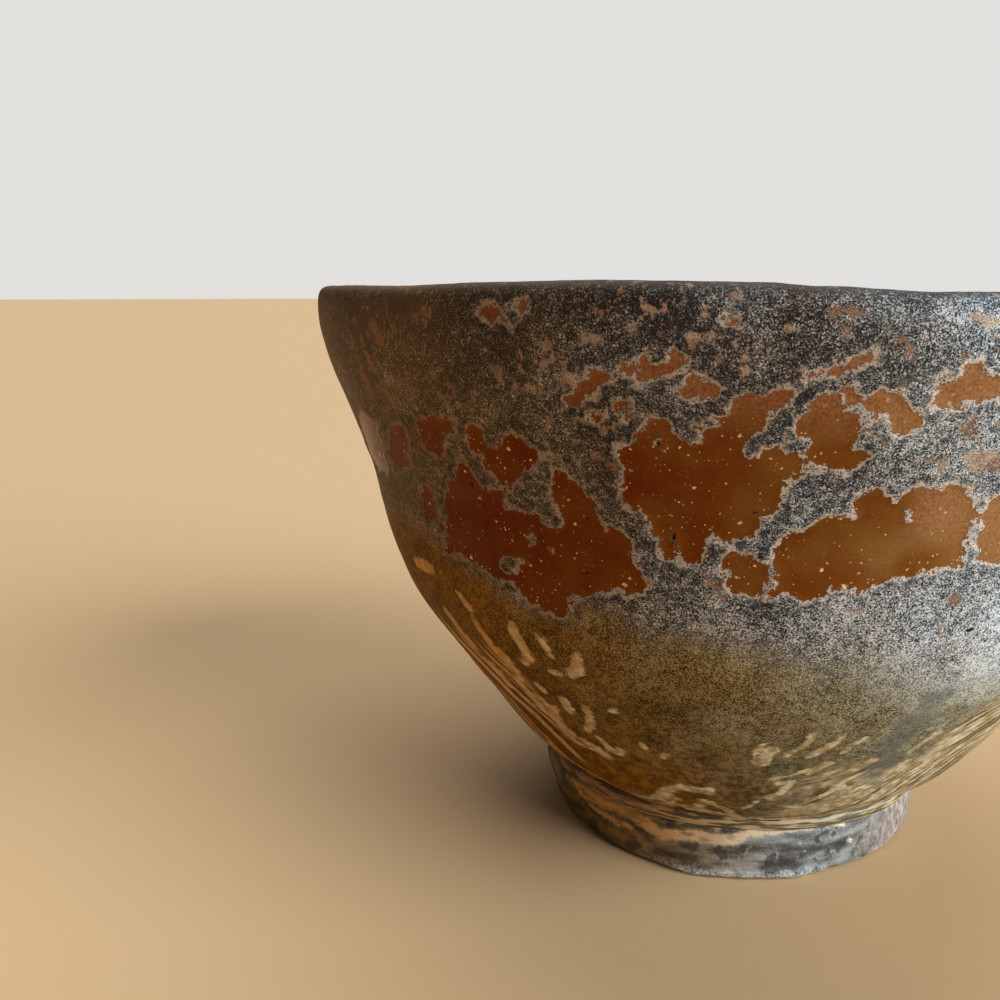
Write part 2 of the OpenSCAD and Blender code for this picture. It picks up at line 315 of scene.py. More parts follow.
# Pits and dark cracks in the glaze
PITS = [
    ([(12.4, 42.7), (13, 42.9)], 0.22), ([(-20.6, 51), (-20.2, 52.6)], 0.16),
    ([(-21.6, 61.5), (-21.3, 62.6)], 0.16), ([(-44.9, 55.5), (-44.8, 54.6)], 0.2),
    ([(-29.7, 53.4), (-29.4, 52.6)], 0.16), ([(15.2, 41.2), (15.6, 41.8)], 0.12),
    ([(-35.2, 46.4), (-35, 46.1)], 0.22), ([(-12.3, 55.6), (-12.1, 55.4)], 0.2),
    ([(6.9, 21.8), (7.6, 21.9)], 0.16), ([(-30.5, 47.4), (-30.3, 47.1)], 0.16),
    ([(-35.1, 49.1), (-34.9, 48.9)], 0.16), ([(14.8, 31.9), (15.6, 32.4)], 0.1),
]
# Strokes that run on over the foot ring
FOOT_STROKES = [
    ([(-75, 8), (-62, 7.4), (-52, 6.2), (-43, 6), (-36, 5.6), (-31, 4.8), (-24, 5), (-15, 5.4),
      (-9, 5.9)], 0.8),
    ([(-58, 7.8), (-48, 7.4), (-40, 7)], 0.5), ([(-64, 6.4), (-54, 5.2), (-46, 4.4), (-40, 4.2)], 0.4),
    ([(-8.1, 6.2), (-0.9, 6.4), (6.9, 6.8), (14, 6.8), (21.3, 7)], 0.4),
    ([(-26, 7), (-20, 7.4), (-13, 7.4)], 0.45), ([(23.4, 4.7), (24.4, 4.3)], 0.28),
]
# Pale flecks in the crust, drawn as short strokes
FLECKS = [
    ([(-27.5, 71.7), (-26.4, 71.5)], 0.5), ([(-32, 69.2), (-31, 69.4)], 0.6),
    ([(-37.2, 68.7), (-36.8, 67.8)], 0.5), ([(-34, 66.4), (-32.6, 67)], 0.45),
    ([(-47.2, 73.8), (-45.6, 72.8)], 0.5), ([(-55.2, 72.6), (-54, 71)], 0.9),
    ([(-51.4, 73.4), (-50.8, 72.2)], 0.55), ([(5.6, 65), (5.8, 63.6)], 0.6),
    ([(8.2, 61.4), (9.2, 60.6)], 0.7), ([(-2.8, 63.8), (-2.5, 63.1)], 0.45),
    ([(-27.6, 60.2), (-26, 59.2)], 0.6), ([(3.7, 61.2), (4.4, 60.8)], 0.4),
    ([(9.2, 46.6), (10.4, 46.4)], 0.45), ([(-16.5, 47.8), (-15, 47)], 0.5),
    ([(-7.5, 74.6), (-6.4, 74.9)], 0.3), ([(-61, 67), (-60, 64.5)], 0.6), ([(-58, 70), (-57.4, 67.5)], 0.5),
    ([(-56.4, 65.6), (-55.2, 63.8)], 0.6), ([(-1.6, 72.6), (-0.6, 71.6)], 0.5),
    ([(-7.4, 75.2), (-5, 75.5)], 0.5), ([(5.8, 65.6), (6.2, 63.6)], 0.4), ([(7, 61.4), (9.4, 60.4)], 0.9),
    ([(3.4, 61.4), (4.8, 60.8)], 0.5), ([(4, 74.8), (6, 74.2)], 0.5), ([(-3.6, 61.4), (-2.6, 61)], 0.4),
    ([(-6.4, 73.8), (-5.8, 73)], 0.3), ([(-3, 73.6), (-3.4, 72.2)], 0.25),
    ([(1.4, 45.4), (2.4, 45.2)], 0.4), ([(-1.4, 45.6), (-0.6, 45.6)], 0.35),
    ([(8.6, 44.4), (9, 43.4)], 0.3), ([(-50.5, 66.5), (-49.6, 65)], 0.5),
    ([(-44, 66.8), (-42.6, 65.8)], 0.5), ([(-40.5, 64.8), (-39.8, 64)], 0.4),
]
# The pattern drawn above covers the side towards a guest. It goes on round the bowl in copies:
# how each copy turns, whether it is mirrored, and how far it is shifted up.
COPIES = [(0, 1, 0), (62, -1, 1.2), (222, 1, -1.0)]
# Single windows between the copies: which one, and its turn, mirroring and shift
SINGLES = [(6, (16, -1, 0.5)), (9, (30, 1, -15)), (1, (262, 1, 2)), (2, (262, 1, 2)), (7, (262, 1, 2))]


def flat(points, turn, mirror, lift):
    """An outline as (azimuth, distance along the profile), in one of its copies."""
    points = np.array(points, float)
    return np.stack([turn + mirror * points[:, 0], along_of(points[:, 1] + lift)], -1)


def to_segments(azimuth, along, scale, line, closed):
    """Distance in mm from each place to a line or a closed outline, where it is less than FAR."""
    middle = (line[:, 0].min() + line[:, 0].max()) / 2
    a = (azimuth - middle + 180) % 360 - 180 + middle
    near = (a > line[:, 0].min() - FAR / scale) & (a < line[:, 0].max() + FAR / scale)
    near &= (along > line[:, 1].min() - FAR) & (along < line[:, 1].max() + FAR)
    x, y, k = a[near], along[near], scale[near]
    best = np.full(len(x), FAR * FAR)
    inside = np.zeros(len(x), bool)
    ends = np.roll(line, -1, axis=0) if closed else line[1:]
    for (pa, ps), (qa, qs) in zip(line, ends):
        ex, ey = (qa - pa) * k, qs - ps
        dx, dy = (x - pa) * k, y - ps
        t = np.clip((dx * ex + dy * ey) / (ex * ex + ey * ey), 0, 1)
        best = np.minimum(best, (dx - t * ex) ** 2 + (dy - t * ey) ** 2)
        if closed and ps != qs:
            crosses = (ps > y) != (qs > y)
            inside ^= crosses & (x < pa + (y - ps) / (qs - ps) * (qa - pa))
    return near, np.sqrt(best), inside


def window_depth(azimuth, along, scale, outlines):
    """How deep inside the nearest outline each place lies, in mm: negative outside."""
    depth = np.full(azimuth.shape, -FAR)
    for outline in outlines:
        near, distance, inside = to_segments(azimuth, along, scale, outline, True)
        depth[near] = np.maximum(depth[near], np.where(inside, distance, -distance))
    return depth


def stroke_depth(azimuth, along, scale, strokes):
    """How deep inside the nearest stroke each place lies, in mm: negative outside."""
    depth = np.full(azimuth.shape, -FAR)
    for line, half_width in strokes:
        near, distance, _ = to_segments(azimuth, along, scale, line, False)
        depth[near] = np.maximum(depth[near], half_width - distance)
    return depth


def outline_copies(outlines):
    return [flat(points, *copy) for copy in COPIES for points in outlines]


def stroke_copies(strokes, copies=COPIES):
    return [(flat(points, *copy), half_width) for copy in copies for points, half_width in strokes]


window_lines = outline_copies(WINDOWS) + [flat(WINDOWS[i], *single) for i, single in SINGLES]
remnant_lines = outline_copies(REMNANTS)
stroke_lines = stroke_copies(STROKES)
fleck_lines = stroke_copies(FLECKS)
ash_lines = stroke_copies(ASH, COPIES[:1])
pit_lines = stroke_copies(PITS)

# How the bowl's colour changes round it, by azimuth: partly the glaze's own tone, partly painted light, warm
# at the left where light bounced from the table falls, pale and silver at the right where the window's sheen
# falls
WARMTH_AND_BOUNCE = {-180: 0.4, -130: 0.7, -75: 1, -52: 0.8, -35: 0.42, -20: 0.2, -5: 0.06, 25: 0, 70: 0.1, 140: 0.5}
PALENESS_AND_SHEEN = {-180: 0.3, -120: 0.2, -75: 0.08, -50: 0.14, -30: 0.32, -12: 0.55, 2: 0.8, 20: 0.95, 36: 0.84,
            64: 0.52, 130: 0.4}
# The height at which the crust ends and the thin glaze begins
CRUST_FOOT = {-180: 40, -110: 43, -62: 47, -50: 45, -40: 41.5, -30: 42.5, -18: 41, 0: 38, 12: 35, 40: 34,
              120: 38}
# The lip's height above its mean, and the bowl's small departure from round
RIM = {-180: -0.9, -120: -0.6, -75: -0.25, -52: -0.3, -36: 0.08, -27: 0.2, -18: 0.02, -12: -0.1, -8: -0.42,
       4: -0.95, 40: -1.05, 90: -1.15, 140: -1.1}
ROUNDNESS = {-180: 0.2, -120: -0.2, -80: 0, 50: 0, 100: 0.3, 145: -0.25}
# How far the foot ring stands out of round in mm, at its edge and at its shoulder, and how full the
# bead of slip over it is
FOOT_EDGE = {-180: -0.4, -93: 0, -65: 0.5, -45: 0.9, -25: 1.1, -8: 0.5, 5: 0.2, 18: -0.4, 60: -0.4, 120: -0.3}
FOOT_SHOULDER = {-180: 0.1, -93: 1.5, -60: 1.4, -30: 0.7, 0: 0, 66: -0.2, 120: 0}
BEAD_FULLNESS = {-180: 0, -120: 0.5, -93: 1, -50: 1, -28: 0.5, 0: 0, 90: 0}
# How much the wall swells or dips where the fingers pressed, by height
WALL_WAVES = [(8.4, 0), (9.6, 0.1), (13, 0.3), (18, 0), (21.5, -0.1), (24, 0.1), (29, -0.1), (36, 0.1),
              (44, 0.1), (48, 0), (53, -0.3), (55, -0.2), (57, -0.3), (60, -0.25), (64, -0.34),
              (69, -0.25), (75, -0.05)]
# The level of the wiping lines round the skirt, low down and higher up
WIPES_LOW = {-180: 10, -120: 26, -75: 32, -58: 12, -45: 0, -34: 1, -20: 6, -8: 0, 4: 0, 20: 10, 36: 26,
             60: 48, 120: 36}
WIPES_HIGH = {-180: 10, -120: 26, -75: 36, -56: 12, -40: -6, -22: -8, -4: 0, 12: 8, 24: 19, 36: 32, 60: 52,
              120: 38}


class Place:
    """Places on the finished surface, and what is there. azimuth in degrees, along in mm from the neck."""

    def __init__(self, azimuth, along):
        self.azimuth, self.along = (azimuth + 180) % 360 - 180, along
        self.r, self.z, self.out, self.up = profile(along)
        turn = np.radians(azimuth)
        self.side = np.stack([np.sin(turn), -np.cos(turn), np.zeros_like(turn)], -1)
        self.point = self.side * self.r[..., None]
        self.point[..., 2] = self.z
        self.outside = 1 - smooth_step(LIP_START, LIP_END, along)
        self.scale = np.radians(np.maximum(self.r, 1))      # mm per degree

    def wandered(self, size, amount, seed):
        """The same places, each shifted a little at random."""
        shift = [noise(self.point, size, seed + k) * amount for k in (0, 1)]
        return self.azimuth + shift[0] / self.scale, self.along + shift[1]

    def window(self):
        """Depth inside the torn windows, with their toothed edges."""
        a, s = self.wandered(2.4, 0.42, 10)
        fine = noise(self.point, 1.0, 12) * 0.5
        open_part = window_depth(a, s, self.scale, window_lines)
        closed_part = window_depth(a, s, self.scale, remnant_lines)
        return np.minimum(open_part, -closed_part) + fine

    def stroke(self):
        a, s = self.wandered(3, 0.6, 20)
        return stroke_depth(a, s, self.scale, stroke_lines) + noise(self.point, 1.5, 22) * 0.18

    def fleck(self):
        a, s = self.wandered(1.5, 0.5, 30)
        return stroke_depth(a, s, self.scale, fleck_lines) + noise(self.point, 0.9, 32) * 0.3

    def ash(self):
        a, s = self.wandered(2.5, 1.2, 33)
        return stroke_depth(a, s, self.scale, ash_lines) + noise(self.point, 1.6, 35) * 0.5

    def pit(self):
        return stroke_depth(self.azimuth, self.along, self.scale, pit_lines)

    # Partly painted light: the warm tone at the left stands for light bounced from the table.
    def warmth(self):
        return np.clip(round_curve(self.azimuth, WARMTH_AND_BOUNCE) + 0.12 * noise(self.point, 9, 40), 0, 1)

    # Partly painted light: the paleness at the right stands for the sheen of the window light.
    def paleness(self):
        return np.clip(round_curve(self.azimuth, PALENESS_AND_SHEEN) + 0.13 * noise(self.point, 5, 41), 0, 1)

    def bared(self):
        """0 in the crust and 1 below it, where the glaze is thin and olive."""
        edge = round_curve(self.azimuth, CRUST_FOOT) + 1.2 * noise(self.point, 4, 42)
        width = 3 + 6 * round_curve(self.azimuth, PALENESS_AND_SHEEN)
        return 1 - smooth_step(-1, 1, (self.z - edge) / width)

    def streaks(self):
        """How much of the surface is streaked with slip."""
        a, z = self.azimuth, self.z
        right = smooth_step(17, 24, a - 0.15 * (z - 18)) * (1 - smooth_step(44, 80, a))
        right *= 1 - smooth_step(29, 35, z)
        left = smooth_step(42, 52, -a) * (1 - smooth_step(84, 106, -a))
        left *= 0.8 * (1 - smooth_step(26, 38, z))
        low = 0.8 * (1 - smooth_step(9.2, 13, z))
        middle = 0.12 + 0.52 * smooth_step(-10, 8, a) * (1 - 0.6 * smooth_step(34, 60, a))
        middle *= 1 - smooth_step(17, 27, z)
        return np.clip(np.maximum.reduce([right, left, low, middle]), 0, 1)

    def wipe(self):
        """Coordinates in mm that run slowly along the wiping lines and fast across them."""
        low = steady_curve(self.azimuth, WIPES_LOW)
        high = steady_curve(self.azimuth, WIPES_HIGH)
        level = low + (high - low) * smooth_step(11, 18, self.z)
        flow = self.side * 9.0
        flow[..., 2] = self.along - level
        return flow

    def swell(self):
        """Height of the hand-made surface over the turned one, in mm, coats left out."""
        waves = np.interp(self.z, *np.array(WALL_WAVES).T) * self.outside
        from_ridge = self.along - LIP_START - LIP_ROUND * math.pi / 4
        ridge = 0.2 * np.exp(-(from_ridge / 0.9) ** 2)
        throwing = 0.07 * noise(self.point * (0.35, 0.35, 1), 5, 50)
        return waves + ridge + throwing + 0.05 * noise(self.point, 6, 51)

    def raised(self, height):
        """Points in mm at that height over the turned surface."""
        bent = round_curve(self.azimuth, ROUNDNESS) * smooth_step(12, 40, self.z) * np.minimum(1, self.r / 30)
        risen = round_curve(self.azimuth, RIM) * smooth_step(45, LIP_TOP, self.z) ** 3
        point = self.side * (self.r + self.out * height + bent)[..., None]
        point[..., 2] = self.z + self.up * height + risen
        return point


def grid(columns, start, end, rows):
    """Azimuths and places along the profile of a grid, with a spare row at each end for its normals."""
    step = (end - start) / (rows - 1)
    along = start + step * np.arange(-1, rows + 1)
    azimuth = np.arange(columns) * 360 / columns
    return np.meshgrid(azimuth, along)


def normals_of(points):
    """Normals of a grid of points, without its two spare rows."""
    around = np.roll(points, -1, axis=1) - np.roll(points, 1, axis=1)
    across = np.zeros_like(points)
    across[1:-1] = points[2:] - points[:-2]
    n = np.cross(around, across)[1:-1]
    return n / np.maximum(np.linalg.norm(n, axis=-1, keepdims=True), 1e-12)


# ---- Meshes ----


def linked(name, data):
    """A new object in the scene that holds a mesh, a lamp or a camera."""
    thing = bpy.data.objects.new(name, data)
    bpy.context.scene.collection.objects.link(thing)
    return thing


def make_piece(name, nodes, material, points, faces, normals=None, fields=None):
    """A smooth mesh in metres that stands for CAD nodes.

    normals holds a row per vertex, and a row of zeros leaves that normal alone. fields are values per
    vertex, by the names under which the material reads them."""
    mesh = bpy.data.meshes.new(name)
    mesh.from_pydata((points * MM).tolist(), [], faces)
    mesh.shade_smooth()
    for field, values in (fields or {}).items():
        vector = values.ndim == 2
        layer = mesh.attributes.new(field, "FLOAT_VECTOR" if vector else "FLOAT", "POINT")
        layer.data.foreach_set("vector" if vector else "value", values.astype(np.float32).ravel())
    if normals is not None:
        corners = np.empty(len(mesh.loops), np.int32)
        mesh.loops.foreach_get("vertex_index", corners)
        mesh.normals_split_custom_set(normals[corners].tolist())
    mesh.materials.append(material)
    piece = linked(name, mesh)
    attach(piece, "root")
    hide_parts(*nodes)
    return piece


def band(lower, upper):
    """Faces between two rings of vertex numbers, where one ring may be coarser, or a single pole."""
    if len(lower) == 1 and len(upper) == 1:
        return []
    if len(upper) == 1:
        return [(lower[i - 1], lower[i], upper[0]) for i in range(len(lower))]
    if len(lower) == 1:
        return [(lower[0], upper[i], upper[i - 1]) for i in range(len(upper))]
    n = max(len(lower), len(upper))
    faces = []
    if len(upper) <= len(lower):
        k = n // len(upper)
        for i in range(len(upper)):
            run = [lower[(i * k + j) % n] for j in range(k + 1)]
            faces.append((*run, upper[(i + 1) % len(upper)], upper[i]))
    else:
        k = n // len(lower)
        for i in range(len(lower)):
            run = [upper[(i * k + j) % n] for j in range(k, -1, -1)]
            faces.append((lower[i], lower[(i + 1) % len(lower)], *run))
    return faces


def solid(rings):
    """The faces of a closed surface through rings of points, and which of all the points it keeps."""
    kept, numbers, first = [], [], 0
    for ring in rings:
        count = 1 if np.ptp(ring, axis=0).max() < 1e-6 else len(ring)
        numbers.append(range(len(kept), len(kept) + count))
        kept += range(first, first + count)
        first += len(ring)
    faces = []
    for lower, upper in zip(numbers, numbers[1:] + numbers[:1]):
        faces += band(lower, upper)
    return faces, kept


def stacked(front, back):
    """Values of the front rows, then of the back rows from the last to the first, as one list."""
    width = front.shape[2:]
    return np.concatenate([front.reshape(-1, *width), back[::-1].reshape(-1, *width)])


def coat(name, nodes, material, start, end, columns, row, relief, fields_of):
    """A coat of glaze between two places along the profile: a detailed front, and a plain back."""
    rows = int(round((end - start) / row)) + 1
    front = Place(*grid(columns, start, end, rows))
    back = Place(*grid(columns // 4, start, end, max(3, rows // 3)))
    points = front.raised(relief(front))
    normals = normals_of(points)
    under = back.raised(-COAT)[1:-1]
    faces, kept = solid(list(points[1:-1]) + list(under[::-1]))
    front_fields, back_fields = fields_of(front), fields_of(back)
    fields = {key: stacked(front_fields[key][1:-1], back_fields[key][1:-1])[kept] for key in front_fields}
    all_points = stacked(points[1:-1], under)[kept]
    all_normals = stacked(normals, np.zeros_like(under))[kept]
    make_piece(name, nodes, material, all_points, faces, all_normals, fields)


def outer_fields(place):
    parts = ("window", "stroke", "fleck", "ash", "pit", "warmth", "paleness", "bared", "streaks", "wipe")
    return {"height": place.z, **{part: getattr(place, part)() for part in parts}}


def outer_relief(place):
    """Height of the outside's finish, in mm: windows are pits in the crust, strokes stand proud."""
    pit = -0.16 * smooth_step(-0.3, 0.35, place.window())
    ridge = 0.09 * smooth_step(-0.3, 0.4, place.stroke()) * place.bared()
    rough = 0.03 * noise(place.point, 1.2, 60) * (1 - smooth_step(-0.2, 0.2, place.window()))
    return place.swell() + pit + ridge + rough


def lining_fields(place):
    return {"depth": LIP_TOP - place.z}


def lining_relief(place):
    return 0.12 * noise(place.point * (0.3, 0.3, 1), 6, 70) + 0.05 * noise(place.point, 4, 71)


def turned(outline, columns, bend):
    """Rings of points from an outline of (radius, height) turned round the axis, then bent out of true."""
    turn = np.radians(np.arange(columns) * 360 / columns)
    outline = np.array(outline)
    r = np.repeat(outline[:, :1], columns, axis=1)
    z = np.repeat(outline[:, 1:], columns, axis=1)
    side = np.stack([np.sin(turn), -np.cos(turn)], -1)
    points = np.concatenate([r[..., None] * side, z[..., None]], -1)
    return bend(points)


def turned_piece(name, node, material, outline, bend, fields_of=None):
    rings = turned(outline, FOOT_COLUMNS, bend)
    faces, kept = solid(list(rings))
    points = rings.reshape(-1, 3)[kept]
    make_piece(name, [node], material, points, faces, None, fields_of and fields_of(points))


# ---- Materials ----


def linear(colour):
    """A colour as it looks on a screen, 0 to 255, turned into the linear numbers of a shader."""
    shares = [c / 255 for c in colour]
    return [c / 12.92 if c <= 0.04045 else ((c + 0.055) / 1.055) ** 2.4 for c in shares]


class Nodes:
    """Builds a material. Each method adds a node and returns its output, to plug into the next.

    A colour is given as it looks on a screen, by three numbers from 0 to 255."""

    def __init__(self, name):
        self.material = bpy.data.materials.new(name)
        self.material.use_nodes = True
        self.tree = self.material.node_tree
        self.shader = self.tree.nodes["Principled BSDF"]
        metres = self.add("TexCoord", {}, "Object")
        self.here = self.add("VectorMath", {0: metres, "Scale": 1 / MM}, operation="SCALE")

    def plug(self, value, socket):
        if isinstance(value, bpy.types.NodeSocket):
            self.tree.links.new(value, socket)
        elif socket.type == "RGBA":
            socket.default_value = (*linear(value), 1)
        else:
            socket.default_value = value

    def add(self, kind, inputs, output=0, **settings):
        node = self.tree.nodes.new("ShaderNode" + kind)
        for key, value in settings.items():
            setattr(node, key, value)
        for key, value in inputs.items():
            self.plug(value, node.inputs[key])
        return node.outputs[output]

    def stretched(self, vector, across, up):
        """vector with its noise drawn out: a factor under 1 makes it longer that way."""
        return self.add("VectorMath", {0: vector, 1: (across, across, up)}, operation="MULTIPLY")

    def shifted(self, vector, size, detail, amount):
        """vector moved by a noise of that size, up to about amount / 2 each way."""
        by = self.noise(size, detail, output=1)
        centred = self.add("VectorMath", {0: by, 1: (0.5, 0.5, 0.5)}, operation="SUBTRACT")
        move = self.add("VectorMath", {0: centred, "Scale": amount}, operation="SCALE")
        return self.add("VectorMath", {0: vector, 1: move}, operation="ADD")

    def field(self, name, output="Fac"):
        return self.add("Attribute", {}, output, attribute_name=name)

    def math(self, operation, a, b=0.0, c=0.0):
        return self.add("Math", {0: a, 1: b, 2: c}, operation=operation)

    def chain(self, operation, values):
        total = values[0]
        for value in values[1:]:
            total = self.math(operation, total, value)
        return total

    def sum(self, *values):
        return self.chain("ADD", values)

    def product(self, *values):
        return self.chain("MULTIPLY", values)

    def spread(self, value, amount):
        """A 0 to 1 value turned into one from -amount to +amount."""
        return self.math("MULTIPLY_ADD", value, 2 * amount, -amount)

    def step(self, low, high, value, start=0.0, end=1.0):
        """A smooth step from start to end as value passes from low to high."""
        inputs = {"Value": value, "From Min": low, "From Max": high, "To Min": start, "To Max": end}
        return self.add("MapRange", inputs, interpolation_type="SMOOTHSTEP")

    def inverse(self, value):
        return self.math("SUBTRACT", 1.0, value)

    def noise(self, size, detail=2.0, roughness=0.5, at=None, output=0):
        """Noise from 0 to 1 with blobs about size mm across: output 1 is a colour of three such noises."""
        at = self.here if at is None else at
        inputs = {"Vector": at, "Scale": 1 / size, "Detail": detail, "Roughness": roughness}
        return self.add("TexNoise", inputs, output)

    def cells(self, vector, size, output="Distance"):
        """Distance to the nearest of a set of scattered points, size mm apart, or a colour for each."""
        return self.add("TexVoronoi", {"Vector": vector, "Scale": 1 / size}, output)

    def mix(self, amount, a, b):
        """Colour a where amount is 0, b where it is 1."""
        return self.add("Mix", {0: amount, 6: a, 7: b}, 2, data_type="RGBA")

    def around(self, warm, pale, middle, right, left):
        """A colour that turns from middle to right as pale grows, and to left as warm grows."""
        return self.mix(warm, self.mix(pale, middle, right), left)

    def specks(self, size, radius, share):
        """Small uneven specks up to radius mm, in some of the cells of a scatter size mm apart."""
        rough = self.shifted(self.here, radius * 1.6, 1.0, radius * 2.4)
        chance = self.cells(rough, size, "Color")
        chosen = self.step(1 - share - 0.02, 1 - share, self.add("SeparateColor", {0: chance}))
        reach = self.product(self.add("SeparateColor", {0: chance}, 1), radius / size)
        soft = 0.3 * radius / size
        near = self.step(-soft, soft, self.math("SUBTRACT", reach, self.cells(rough, size)))
        return self.product(near, chosen)

    def finish(self, colour, roughness, height, **settings):
        """Sets the shader: height is the fine relief in mm."""
        bump = self.add("Bump", {"Height": height, "Distance": MM, "Strength": 1.0})
        values = {"Base Color": colour, "Roughness": roughness, "Normal": bump, **settings}
        for key, value in values.items():
            self.plug(value, self.shader.inputs[key])
        return self.material


class OuterGlaze(Nodes):
    """The outside's material, with the fields that its pieces carry and a noise that tears edges."""

    def __init__(self):
        super().__init__("outer_glaze")
        self.warmth, self.paleness = self.field("warmth"), self.field("paleness")
        self.bared, self.streaks = self.field("bared"), self.field("streaks")
        self.height = self.field("height")
        self.teeth = self.spread(self.noise(0.8, 3.0, 0.62), 1.1)


def crust_colour(m):
    """Dry grey-black crust peppered with pale crystals, and where the crystals are. It is browner at the left
    and silver at the right, partly as painted light: warm light bounced from the table at the left, the
    window's sheen and glints at the right.
    """
    grain = m.noise(0.17, 2.0, 0.65, m.shifted(m.here, 0.5, 1.0, 0.3))
    clump = m.noise(0.9, 2.5, 0.6)
    patch = m.noise(5.5, 3.0, 0.55)
    blotchy = m.product(m.spread(patch, 0.1), m.step(0.5, 1.0, m.paleness, 1.0, 0.4))
    fewer_at_lip = m.product(m.step(66, 75, m.height), m.inverse(m.paleness), -0.06)
    more_below = m.step(38, 54, m.height, 0.04, -0.012)
    level = m.sum(grain, m.spread(clump, 0.17), blotchy, m.spread(m.paleness, 0.05), fewer_at_lip, more_below)
    crystal = m.step(0.41, 0.57, level)
    silver_and_sheen = m.math("POWER", m.paleness, 2.1)
    brown = m.math("POWER", m.warmth, 1.2)
    ground = m.around(brown, silver_and_sheen, (19, 16, 15), (58, 66, 75), (92, 70, 50))
    pale = m.around(brown, silver_and_sheen, (100, 87, 77), (180, 197, 208), (170, 142, 108))
    # The brightest crystals turn near white and blue at the right: painted glints of the window light.
    bright = m.around(m.warmth, silver_and_sheen, (188, 176, 164), (240, 248, 255), (190, 164, 130))
    colour = m.mix(crystal, ground, pale)
    colour = m.mix(m.step(0.56, 0.67, level), colour, bright)
    return near_lip(m, colour, m.sum(grain, m.spread(clump, 0.2))), crystal


def near_lip(m, colour, grain):
    """The crust at the lip: smooth grey at the top, lighter there at the left as a painted reflection, with a
    painted silver highlight under it at the right.
    """
    # The top of the lip goes smooth grey, the lip's own iron colour, made lighter at the left as a painted
    # reflection of the bright room.
    lip_band_and_reflection = m.around(m.warmth, m.paleness, (72, 62, 56), (78, 80, 84), (120, 104, 86))
    colour = m.mix(m.product(m.step(75.6, 77.0, m.height), 0.75), colour, lip_band_and_reflection)
    # A painted highlight: the window's silver sheen on the crystals just under the lip, at the right.
    below_lip = m.product(m.step(73.2, 74.8, m.height), m.inverse(m.step(75.2, 76.2, m.height)))
    painted_glint = m.product(below_lip, m.step(0.55, 0.9, m.paleness), m.step(0.3, 0.6, grain))
    return m.mix(m.product(painted_glint, 0.6), colour, (226, 234, 244))


def thin_colour(m):
    """Olive-brown glaze, thin and finely speckled, honey-coloured low down at the left, greyer and brighter
    at the right partly as painted sheen of the window light.
    """
    speck = m.noise(0.2, 1.5, 0.6)
    patch = m.noise(4.0, 3.0, 0.55)
    cloud = m.noise(1.0, 2.5, 0.6)
    level = m.sum(speck, m.spread(patch, 0.12), m.spread(cloud, 0.14), m.spread(m.paleness, 0.06))
    ashen_and_sheen = m.math("POWER", m.paleness, 1.35)
    dark = m.around(m.warmth, ashen_and_sheen, (52, 37, 4), (66, 66, 54), (92, 54, 0))
    pale = m.around(m.warmth, ashen_and_sheen, (142, 109, 44), (158, 158, 132), (168, 111, 0))
    bright = m.around(m.warmth, ashen_and_sheen, (156, 126, 68), (204, 210, 190), (174, 118, 10))
    honey = m.product(m.step(12, 28, m.height, 0.9, 0.0), m.inverse(m.step(0.3, 0.8, m.paleness)))
    dark = m.mix(honey, dark, (104, 64, 0))
    pale = m.mix(honey, pale, (176, 114, 6))
    peppered = m.mix(m.step(0.56, 0.7, level), m.mix(m.step(0.38, 0.58, level), dark, pale), bright)
    clouded = m.mix(m.step(0.3, 0.7, m.sum(cloud, m.spread(patch, 0.3))), dark, pale)
    return m.mix(m.step(14, 34, m.height, 0.7, 0.0), peppered, clouded)


def amber_colour(m, edge):
    """Glassy iron amber, red-brown in places, with a few white specks of unmelted sand.

    edge is the depth inside a window in mm."""
    level = m.sum(m.noise(5.0, 3.0, 0.55), m.spread(m.noise(0.2, 2.0, 0.6), 0.2))
    lit = m.math("POWER", m.paleness, 2.5)
    red = m.mix(lit, (98, 32, 0), (130, 90, 34))
    gold = m.mix(lit, (105, 48, 0), (146, 112, 58))
    deep = m.mix(m.step(0.35, 0.65, level), red, gold)
    thin = m.inverse(m.step(0.0, 0.55, edge))
    deep = m.mix(m.product(thin, 0.35), deep, (128, 72, 12))
    sand = m.specks(2.3, 0.38, 0.28)
    dust = m.math("MAXIMUM", m.specks(0.9, 0.17, 0.4), m.specks(0.42, 0.09, 0.4))
    return milky(m, m.mix(m.math("MAXIMUM", sand, dust), deep, (230, 196, 154)))


def milky(m, glass):
    """The amber clouded by crystals, in the highest windows and at the right; at the right the paler cloud is
    partly painted sheen of the window light.
    """
    high = m.product(m.step(61, 68, m.height), m.step(0.3, 0.7, m.paleness, 0.7, 1.0))
    right = m.product(m.step(36, 48, m.height), m.step(0.74, 0.91, m.paleness), 0.95)
    cloud = m.product(m.math("MAXIMUM", high, right), m.step(0.2, 0.75, m.noise(0.3, 3.0, 0.65)))
    return m.mix(m.product(cloud, 0.9), glass, m.mix(m.paleness, (136, 86, 42), (178, 134, 100)))


def slip_colour(m):
    tone = m.noise(1.4, 3.0, 0.6)
    cool = m.mix(m.step(0.3, 0.7, tone), (172, 150, 108), (252, 240, 208))
    warm = m.mix(tone, (184, 122, 46), (240, 178, 100))
    return m.mix(m.warmth, cool, warm)


